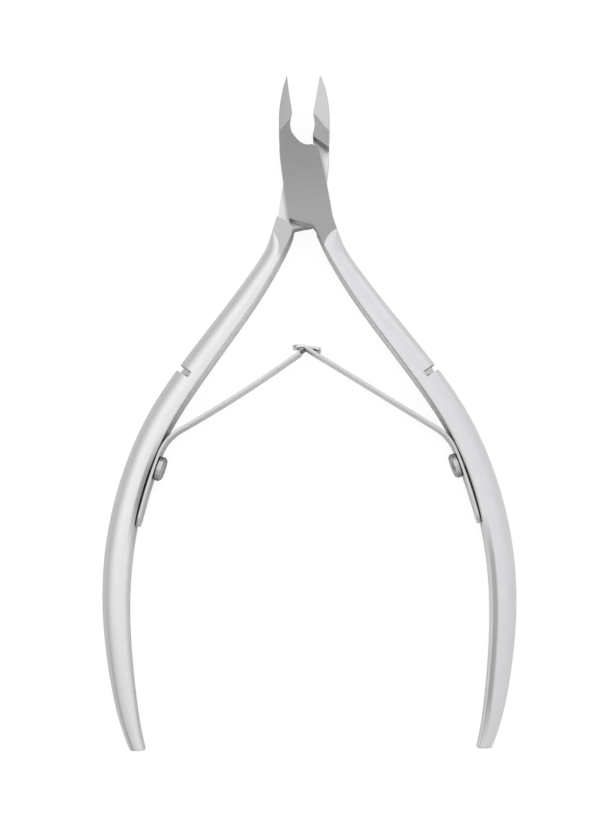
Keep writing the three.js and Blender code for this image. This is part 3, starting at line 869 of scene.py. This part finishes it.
def node(tree, kind, inputs=None, **settings):
    """Adds a node. Inputs are values or other nodes' outputs, by input name or number."""
    made = tree.nodes.new(kind)
    for name, value in settings.items():
        setattr(made, name, value)
    for name, value in (inputs or {}).items():
        if isinstance(value, bpy.types.NodeSocket):
            tree.links.new(value, made.inputs[name])
        else:
            made.inputs[name].default_value = value
    return made


def maths(tree, operation, a, b=0.0, c=0.0):
    return node(tree, "ShaderNodeMath", {0: a, 1: b, 2: c}, operation=operation).outputs[0]


def ranged(tree, value, low, high, to_low=0.0, to_high=1.0, smooth_ends=False):
    kind = "SMOOTHSTEP" if smooth_ends else "LINEAR"
    inputs = {"Value": value, "From Min": low, "From Max": high, "To Min": to_low, "To Max": to_high}
    return node(tree, "ShaderNodeMapRange", inputs, interpolation_type=kind).outputs[0]


def mixed(tree, share, a, b):
    """Colour or number between a and b."""
    is_colour = isinstance(a, tuple) or getattr(a, "type", "") == "RGBA"
    if is_colour:
        return node(tree, "ShaderNodeMix", {0: share, 6: a, 7: b}, data_type="RGBA").outputs[2]
    return node(tree, "ShaderNodeMix", {0: share, 2: a, 3: b}, data_type="FLOAT").outputs[0]


def place_of(tree, attribute="local"):
    return node(tree, "ShaderNodeAttribute", attribute_name=attribute).outputs["Vector"]


def streaks(tree, vector, scale, detail=3.0):
    """Noise stretched by scale, which is in cycles per millimetre along each axis."""
    stretched = node(tree, "ShaderNodeVectorMath", {0: vector, 1: scale}, operation="MULTIPLY")
    inputs = {"Vector": stretched.outputs[0], "Scale": 1.0, "Detail": detail, "Roughness": 0.6}
    return node(tree, "ShaderNodeTexNoise", inputs).outputs["Fac"]


def grey(value, cool=0.0):
    return (value * (1 - cool), value * (1 - 0.4 * cool), value * (1 + cool), 1.0)


def wear_and_highlight_edges(tree, radius):
    """1 at a convex or concave edge and 0 on open faces, from how far a rounded normal strays. Colours
    lightened with it show edge wear and a painted highlight.
    """
    rounded = node(tree, "ShaderNodeBevel", {"Radius": radius * MM}, samples=4).outputs[0]
    plain = node(tree, "ShaderNodeNewGeometry").outputs["Normal"]
    agree = node(tree, "ShaderNodeVectorMath", {0: rounded, 1: plain}, operation="DOT_PRODUCT")
    return ranged(tree, agree.outputs["Value"], 0.995, 0.85), rounded


def levelness(tree):
    """1 on a level surface, which faces straight up or down, and 0 on an upright one."""
    plain = node(tree, "ShaderNodeNewGeometry").outputs["Normal"]
    return maths(tree, "ABSOLUTE", node(tree, "ShaderNodeSeparateXYZ", {0: plain}).outputs["Z"])


def from_axis(tree, vector):
    """Distance from the Z axis."""
    flat = node(tree, "ShaderNodeVectorMath", {0: vector, 1: (1, 1, 0)}, operation="MULTIPLY").outputs[0]
    return node(tree, "ShaderNodeVectorMath", {0: flat}, operation="LENGTH").outputs["Value"]


def finish_with_corner_shade(tree, colour, roughness, bump, bump_mm, normal):
    """Steel of a grey or tinted colour, with painted shade in tight corners: the colour is darkened by
    ambient occlusion.
    """
    # Painted shade: where ambient occlusion within 0.8 mm finds corners and recesses, the colour darkens
    # to as little as half.
    open_air = node(tree, "ShaderNodeAmbientOcclusion", {"Distance": 0.8 * MM}, samples=8).outputs["AO"]
    corner_shade = ranged(tree, open_air, 0.35, 0.9, 0.5, 1.0)
    corner_shaded = node(tree, "ShaderNodeVectorMath", {0: colour, "Scale": corner_shade}, operation="SCALE").outputs[0]
    inputs = {"Height": bump, "Strength": 1.0, "Distance": bump_mm * MM, "Normal": normal}
    bumped = node(tree, "ShaderNodeBump", inputs).outputs[0]
    inputs = {"Base Color": corner_shaded, "Metallic": 1.0, "Roughness": roughness, "Normal": bumped}
    return node(tree, "ShaderNodeBsdfPrincipled", inputs).outputs[0]


def material(name):
    made = bpy.data.materials.new(name)
    made.use_nodes = True
    made.node_tree.nodes.clear()
    return made


def output(tree, shader):
    node(tree, "ShaderNodeOutputMaterial", {"Surface": shader})


def shade(tree, value):
    """A grey from a number, which may vary over the surface."""
    return node(tree, "ShaderNodeCombineColor", {0: value, 1: value, 2: value}).outputs[0]


def varied(tree, value, texture, spread):
    """The value, strayed by up to half the spread with the texture."""
    return maths(tree, "MULTIPLY_ADD", maths(tree, "SUBTRACT", texture, 0.5), spread, value)


def painted_edge_shade(tree, handle, first, last, from_edge, depth):
    """Painted shade: a dark line near the handle's inner edge. It runs from first to last along the
    handle, at a distance from the edge, and is as strong as depth."""
    along, _, from_inner = node(tree, "ShaderNodeSeparateXYZ", {0: handle}).outputs
    stray = maths(tree, "ABSOLUTE", maths(tree, "SUBTRACT", from_inner, from_edge))
    beside = ranged(tree, stray, 0.55, 0.2, 0.0, depth)
    begun = ranged(tree, along, first - EDGE_SHADE_FADE, first + EDGE_SHADE_FADE)
    going = ranged(tree, along, last + EDGE_SHADE_FADE, last - EDGE_SHADE_FADE)
    return maths(tree, "MULTIPLY", beside, maths(tree, "MULTIPLY", begun, going))


def half_skin(name, run_out, shoulder_tone, jaw_tone, satin_tone, cool, edge_shade):
    """Outside of a half: ground flats on the head, satin crown on the handle. run_out is (x, y,
    radius) of the round boundary where the crown begins. The ground tone runs from shoulder to jaw,
    and cool tints the crown towards blue. The last argument places a painted shade line near the
    handle's inner edge, described where that line is painted. Edges are lightened, partly as wear and
    partly as a painted highlight."""
    made = material(name)
    tree = made.node_tree
    local = place_of(tree)
    handle = place_of(tree, "handle")
    wear_and_highlight, rounded = wear_and_highlight_edges(tree, 0.07)
    y = node(tree, "ShaderNodeSeparateXYZ", {0: local}).outputs["Y"]

    centre_x, centre_y, radius = run_out
    inputs = {0: local, 1: (centre_x, centre_y, 0)}
    from_centre = node(tree, "ShaderNodeVectorMath", inputs, operation="SUBTRACT").outputs[0]
    in_circle = ranged(tree, from_axis(tree, from_centre), radius + 0.08, radius - 0.08)
    crown = maths(tree, "MAXIMUM", in_circle, ranged(tree, y, -12.4, -14.2, smooth_ends=True))

    brushed = streaks(tree, local, (0.1, 7, 0.5), 3)
    fine = streaks(tree, handle, (1.4, 7, 7), 4)
    mottled = streaks(tree, handle, (0.35, 0.5, 0.5), 2)

    tone = ranged(tree, y, -7.5, 7.5, shoulder_tone, jaw_tone, smooth_ends=True)
    facet = ranged(tree, levelness(tree), 0.97, 0.94)
    ground = varied(tree, mixed(tree, facet, tone, 0.62), brushed, 0.1)
    satin = varied(tree, satin_tone, mottled, 0.06)
    # Painted shade: the satin darkens towards 0.3 along a line near the inner edge.
    satin = mixed(tree, painted_edge_shade(tree, handle, *edge_shade), satin, 0.3)
    colour = mixed(tree, crown, ground, satin)
    # Edges lightened towards 0.8: partly rubbed wear, partly painted highlight.
    colour = mixed(tree, maths(tree, "MULTIPLY", wear_and_highlight, 0.25), colour, 0.8)
    ground_rough = varied(tree, 0.34, brushed, 0.15)
    satin_rough = varied(tree, 0.32, fine, 0.15)
    roughness = mixed(tree, crown, ground_rough, satin_rough)
    bump = mixed(tree, crown, brushed, fine)
    inputs = {0: shade(tree, colour), 1: mixed(tree, crown, grey(1.0), grey(1.0, cool))}
    tinted = node(tree, "ShaderNodeVectorMath", inputs, operation="MULTIPLY").outputs[0]
    output(tree, finish_with_corner_shade(tree, tinted, roughness, bump, 0.002, rounded))
    return made


def lap_steel():
    """Sliding faces of the lap joint: polished by running on each other."""
    made = material("lap_polish")
    tree = made.node_tree
    from_pivot = node(tree, "ShaderNodeCombineXYZ", {0: from_axis(tree, place_of(tree))}).outputs[0]
    rings = streaks(tree, from_pivot, (8, 1, 1), 3)
    rounded = wear_and_highlight_edges(tree, 0.05)[1]
    colour = varied(tree, 0.9, rings, 0.08)
    roughness = varied(tree, 0.4, rings, 0.1)
    output(tree, finish_with_corner_shade(tree, shade(tree, colour), roughness, rings, 0.001, rounded))
    return made


def milled_steel_with_painted_shade():
    """Walls of the pocket and bores, with the cutter's upright marks. Their dark grey is partly the milled
    finish and partly painted shade for the recesses.
    """
    made = material("milled_wall_painted_shade")
    tree = made.node_tree
    marks = streaks(tree, place_of(tree), (3, 3, 0.4), 3)
    rounded = wear_and_highlight_edges(tree, 0.05)[1]
    # Dark grey: partly the milled finish, partly painted shade for the recesses it lines.
    colour = varied(tree, 0.36, marks, 0.1)
    roughness = varied(tree, 0.4, marks, 0.2)
    output(tree, finish_with_corner_shade(tree, shade(tree, colour), roughness, marks, 0.008, rounded))
    return made


def spring_steel():
    """Rolled strip with fine lengthwise lines, polished past the crossing, with painted shade on the neck
    and edges lightened by wear and a painted highlight.
    """
    made = material("spring_steel")
    tree = made.node_tree
    hook = node(tree, "ShaderNodeSeparateXYZ", {0: place_of(tree)}).outputs["Z"]
    polish = ranged(tree, hook, 0.0, 0.5, smooth_ends=True)
    lines = streaks(tree, place_of(tree), (0.08, 9, 0), 4)
    blotches = streaks(tree, place_of(tree), (0.3, 0.6, 0), 2)
    wear_and_highlight, rounded = wear_and_highlight_edges(tree, 0.06)
    colour = varied(tree, 0.72, blotches, 0.14)
    # Edges lightened towards 0.88: partly rubbed wear, partly painted highlight.
    colour = mixed(tree, maths(tree, "MULTIPLY", wear_and_highlight, 0.3), colour, 0.88)
    colour = mixed(tree, polish, colour, 0.88)
    # Painted shade: the neck darkens towards 0.2.
    colour = mixed(tree, ranged(tree, hook, -0.2, -0.8), colour, 0.2)
    roughness = mixed(tree, polish, varied(tree, 0.24, lines, 0.2), 0.14)
    output(tree, finish_with_corner_shade(tree, shade(tree, colour), roughness, lines, 0.003, rounded))
    return made


def screw_steel():
    """Turned steel: fine rings round the screw's own axis, with edges lightened by wear and a painted
    highlight.
    """
    made = material("screw_steel")
    tree = made.node_tree
    height = node(tree, "ShaderNodeSeparateXYZ", {0: place_of(tree)}).outputs["Z"]
    turned = node(tree, "ShaderNodeCombineXYZ", {0: from_axis(tree, place_of(tree)), 1: height}).outputs[0]
    rings = streaks(tree, turned, (9, 9, 1), 3)
    wear_and_highlight, rounded = wear_and_highlight_edges(tree, 0.07)
    tone = ranged(tree, levelness(tree), 0.5, 0.9, 0.34, 0.66)
    colour = varied(tree, tone, rings, 0.14)
    # Edges lightened towards 0.85: partly rubbed wear, partly painted highlight.
    colour = mixed(tree, maths(tree, "MULTIPLY", wear_and_highlight, 0.3), colour, 0.85)
    roughness = varied(tree, 0.26, rings, 0.15)
    output(tree, finish_with_corner_shade(tree, shade(tree, colour), roughness, rings, 0.005, rounded))
    return made


# ---- stage ----


def floor():
    """Plain white table just under the tool. The camera sees it lit through, with hardly a shadow.
    Steel mirrors it greyer, with a pool of light between the handles that is dimmer on the left."""
    made = material("floor_white")
    tree = made.node_tree
    seen = node(tree, "ShaderNodeLightPath").outputs["Is Camera Ray"]
    where = node(tree, "ShaderNodeNewGeometry").outputs["Position"]
    middle = (0, -60 * MM, cad_low.z)
    away = node(tree, "ShaderNodeVectorMath", {0: where, 1: middle}, operation="DISTANCE")
    pool = ranged(tree, away.outputs["Value"], 30 * MM, 42 * MM, 0.76, 0.64, smooth_ends=True)
    x = node(tree, "ShaderNodeSeparateXYZ", {0: where}).outputs["X"]
    mirrored = maths(tree, "MULTIPLY", pool, ranged(tree, x, -25 * MM, -5 * MM, 0.8, 1.0))
    inputs = {
        "Base Color": mixed(tree, seen, shade(tree, mirrored), grey(0.12)),
        "Roughness": 0.9,
        "Specular IOR Level": 0.0,
        "Emission Color": grey(1.0),
        "Emission Strength": maths(tree, "MULTIPLY", seen, 0.9),
    }
    output(tree, node(tree, "ShaderNodeBsdfPrincipled", inputs).outputs[0])
    size, height = 4.0, cad_low.z - 0.02 * MM
    corners = [(-size, -size, height), (size, -size, height), (size, size, height), (-size, size, height)]
    piece = with_materials(mesh_object("floor", corners, [(0, 1, 2, 3)]), [made])


def world():
    """Studio surround: a soft ceiling over dimmer walls. The ceiling's light ends towards the front,
    the left wall darkens towards the horizon, and the far right of the room is brighter. The camera
    itself sees it plain and pale."""
    surround = bpy.data.worlds.new("studio")
    bpy.context.scene.world = surround
    surround.use_nodes = True
    tree = surround.node_tree
    tree.nodes.clear()
    direction = node(tree, "ShaderNodeTexCoord").outputs["Generated"]
    x, y, z = node(tree, "ShaderNodeSeparateXYZ", {0: direction}).outputs
    ceiling = ranged(tree, x, -0.15, 0.15, 1.03, 0.9, smooth_ends=True)
    walls = ranged(tree, x, -0.5, 0.5, 0.68, 0.8, smooth_ends=True)
    overhead = ranged(tree, z, 0.42, 0.85, smooth_ends=True)
    behind_front = ranged(tree, y, -0.19, -0.01, smooth_ends=True)
    lit = mixed(tree, maths(tree, "MULTIPLY", overhead, behind_front), walls, ceiling)
    at_left = ranged(tree, x, 0.0, -0.4, smooth_ends=True)
    near_horizon = ranged(tree, z, 0.42, 0.06, smooth_ends=True)
    depth = ranged(tree, y, -0.45, 0.05, 0.9, 0.28)
    dark = maths(tree, "MULTIPLY", maths(tree, "MULTIPLY", at_left, near_horizon), depth)
    lit = maths(tree, "MULTIPLY", lit, maths(tree, "SUBTRACT", 1.0, dark))
    far = ranged(tree, y, 0.5, 0.8, smooth_ends=True)
    far_right = maths(tree, "MULTIPLY", far, ranged(tree, x, -0.1, 0.3, smooth_ends=True))
    lit = maths(tree, "MULTIPLY_ADD", far_right, 0.35, lit)
    lit = maths(tree, "MULTIPLY", lit, ranged(tree, y, -0.7, -0.2, 0.85, 1.0, smooth_ends=True))
    seen = node(tree, "ShaderNodeLightPath").outputs["Is Camera Ray"]
    lit = mixed(tree, seen, lit, 0.96)
    light = node(tree, "ShaderNodeBackground", {"Color": grey(1.0), "Strength": lit})
    node(tree, "ShaderNodeOutputWorld", {"Surface": light.outputs[0]})


def area_light(name, place, target, size, power):
    """Soft light that no steel mirrors."""
    data = bpy.data.lights.new(name, "AREA")
    data.shape = "SQUARE"
    data.size = size
    data.energy = power
    light = bpy.data.objects.new(name, data)
    light.location = place
    light.rotation_euler = (Vector(target) - Vector(place)).to_track_quat("-Z", "Y").to_euler()
    light.visible_glossy = False
    light.visible_camera = False
    bpy.context.scene.collection.objects.link(light)


def lights():
    area_light("table_light", (0.0, 0.1, 1.2), (0, -0.04, 0), 1.6, 9.0)


def camera():
    place = Vector((5.40, -67.35, 300 - HALF_DEPTH)) * MM
    target = Vector((-1.47, -39.17, -HALF_DEPTH)) * MM
    up = Vector((0.0096, 1, 0))
    forward = (target - place).normalized()
    right = forward.cross(up).normalized()
    turn = Matrix((right, right.cross(forward), -forward)).transposed()
    data = bpy.data.cameras.new("camera")
    data.lens = 77.3
    data.clip_start, data.clip_end = 0.01, 20
    made = bpy.data.objects.new("camera", data)
    made.matrix_world = Matrix.Translation(place) @ turn.to_4x4()
    bpy.context.scene.collection.objects.link(made)
    bpy.context.scene.camera = made


# ---- assembly ----


walls = milled_steel_with_painted_shade()
laps = lap_steel()
front_skin = half_skin(
    "front_satin_steel",
    run_out=(5.35, -12.9, 4.03),
    shoulder_tone=0.41,
    jaw_tone=0.325,
    satin_tone=0.8,
    cool=0.012,
    # painted shade line near the lower inner edge: from, to, distance from the edge, strength
    edge_shade=(62, 94, 0.6, 0.7),
)
rear_skin = half_skin(
    "rear_satin_steel",
    run_out=(7.3, -12.6, 4.55),
    shoulder_tone=0.6,
    jaw_tone=0.42,
    satin_tone=0.87,
    cool=0.0,
    # painted shadow of the spring's foot along the inner edge: from, to, distance from the edge, strength
    edge_shade=(46, 60, 0.3, 0.8),
)

front = half("front_half_steel", 1, [front_skin, laps, walls])
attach(front, "front_body")
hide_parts("front_half")

rear = half("rear_half_steel", -1, [rear_skin, laps, walls])
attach(rear, "rear_body")
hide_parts("rear_half")

turned_steel = screw_steel()
rivet = pivot_rivet(turned_steel)
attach(rivet, "rear_body")
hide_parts("pivot_pin")

strip_steel = spring_steel()
left_spring = left_leaf_spring(strip_steel)
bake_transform(left_spring)
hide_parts("left_spring_foot", "left_spring_arm")

right_spring = right_leaf_spring(strip_steel)
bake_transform(right_spring)
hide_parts("right_spring_foot", "right_spring_arm")

for name, side, body in (("left", -1, "rear_body"), ("right", 1, "front_body")):
    screw = cheese_screw(f"{name}_cheese_screw", side, turned_steel)
    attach(screw, body)
    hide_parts(f"{name}_spring_screw")

floor()
world()
lights()
camera()
bpy.context.scene.view_settings.view_transform = "Standard"
